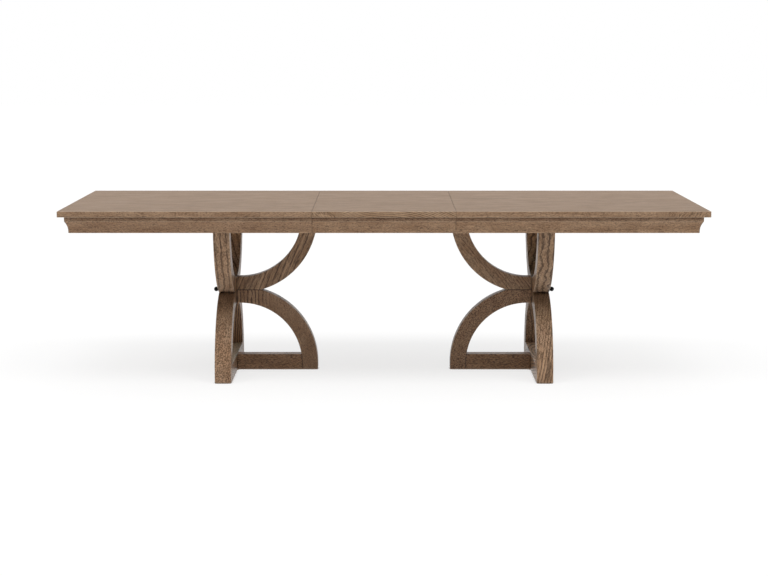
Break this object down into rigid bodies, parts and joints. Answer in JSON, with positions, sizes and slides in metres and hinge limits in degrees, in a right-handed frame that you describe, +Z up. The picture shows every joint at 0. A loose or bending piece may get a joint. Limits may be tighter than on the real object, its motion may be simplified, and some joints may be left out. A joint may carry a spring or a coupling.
{
  "type": "extending trestle dining table",
  "caption": "Extending dining table on two arched trestle pedestals, with a split top that slides apart and a drop-in centre leaf.",
  "frame": {"origin": "on the floor under the centre of the table", "axes": "+X along the table, +Y across it, +Z up"},
  "size_m": [2.743, 1.016, 0.762],
  "materials": {
    "oak_top": "open-pored oak, matt grey-brown oil",
    "oak": "open-pored oak, matt grey-brown oil",
    "inner_wood": "planed beech, clear lacquer",
    "steel": "zinc-plated",
    "black_steel": "black powder coat, satin",
    "nylon": "natural nylon"
  },
  "bodies": {
    "base": {"left_arch_lower": "oak", "left_arch_upper": "oak", "left_arch_foot": "oak", "left_spur_lower": "oak", "left_spur_upper": "oak", "left_spur_foot": "oak", "left_outer_cleat": "inner_wood", "left_inner_cleat": "inner_wood", "left_tie_bolt": "black_steel", "left_tie_nut": "steel", "left_lags": "steel", "left_glides": "nylon", "right_arch_lower": "oak", "right_arch_upper": "oak", "right_arch_foot": "oak", "right_spur_lower": "oak", "right_spur_upper": "oak", "right_spur_foot": "oak", "right_outer_cleat": "inner_wood", "right_inner_cleat": "inner_wood", "right_tie_bolt": "black_steel", "right_tie_nut": "steel", "right_lags": "steel", "right_glides": "nylon", "rail_front": "inner_wood", "rail_back": "inner_wood", "gear_bridge": "inner_wood", "pinion_axle": "steel", "rail_screws": "steel"},
    "pinion": {"pinion": "nylon"},
    "left_half": {"left_top": "oak_top", "left_apron_front": "oak", "left_apron_back": "oak", "left_apron_end": "oak", "left_corner_blocks": "inner_wood", "left_runner_front": "inner_wood", "left_runner_back": "inner_wood", "left_rack": "inner_wood", "left_screws": "steel", "left_strikes": "steel"},
    "right_half": {"right_top": "oak_top", "right_apron_front": "oak", "right_apron_back": "oak", "right_apron_end": "oak", "right_corner_blocks": "inner_wood", "right_runner_front": "inner_wood", "right_runner_back": "inner_wood", "right_rack": "inner_wood", "right_screws": "steel", "right_strikes": "steel"},
    "leaf": {"leaf_top": "oak_top", "leaf_apron_front": "oak", "leaf_apron_back": "oak", "leaf_battens": "inner_wood", "leaf_screws": "steel", "leaf_pivots": "steel"},
    "lock_front_left": {"lock_front_left": "steel"},
    "lock_front_right": {"lock_front_right": "steel"},
    "lock_back_left": {"lock_back_left": "steel"},
    "lock_back_right": {"lock_back_right": "steel"}
  },
  "joints": [
    {"name": "left_slide", "type": "slide", "parent": "base", "child": "left_half", "axis": [-1, 0, 0], "range_m": [0, 0.03]},
    {"name": "right_slide", "type": "slide", "parent": "base", "child": "right_half", "axis": [1, 0, 0], "range_m": [0, 0.03]},
    {"name": "pinion_turn", "type": "hinge", "parent": "base", "child": "pinion", "pos_m": [0, 0, 0.7], "axis": [0, 0, 1], "range_deg": [0, 68.76]},
    {"name": "leaf_lift", "type": "slide", "parent": "base", "child": "leaf", "axis": [0, 0, 1], "range_m": [0, 0.35]},
    {"name": "lock_front_left_turn", "type": "hinge", "parent": "leaf", "child": "lock_front_left", "pos_m": [-0.268, -0.33, 0.7325], "axis": [0, 0, 1], "range_deg": [0, 90]},
    {"name": "lock_front_right_turn", "type": "hinge", "parent": "leaf", "child": "lock_front_right", "pos_m": [0.268, -0.33, 0.7325], "axis": [0, 0, -1], "range_deg": [0, 90]},
    {"name": "lock_back_left_turn", "type": "hinge", "parent": "leaf", "child": "lock_back_left", "pos_m": [-0.268, 0.33, 0.7325], "axis": [0, 0, -1], "range_deg": [0, 90]},
    {"name": "lock_back_right_turn", "type": "hinge", "parent": "leaf", "child": "lock_back_right", "pos_m": [0.268, 0.33, 0.7325], "axis": [0, 0, 1], "range_deg": [0, 90]}
  ],
  "couplings": [
    {"joint": "right_slide", "follows": "left_slide", "ratio": 1},
    {"joint": "pinion_turn", "follows": "left_slide", "rad_per_m": 40}
  ]
}
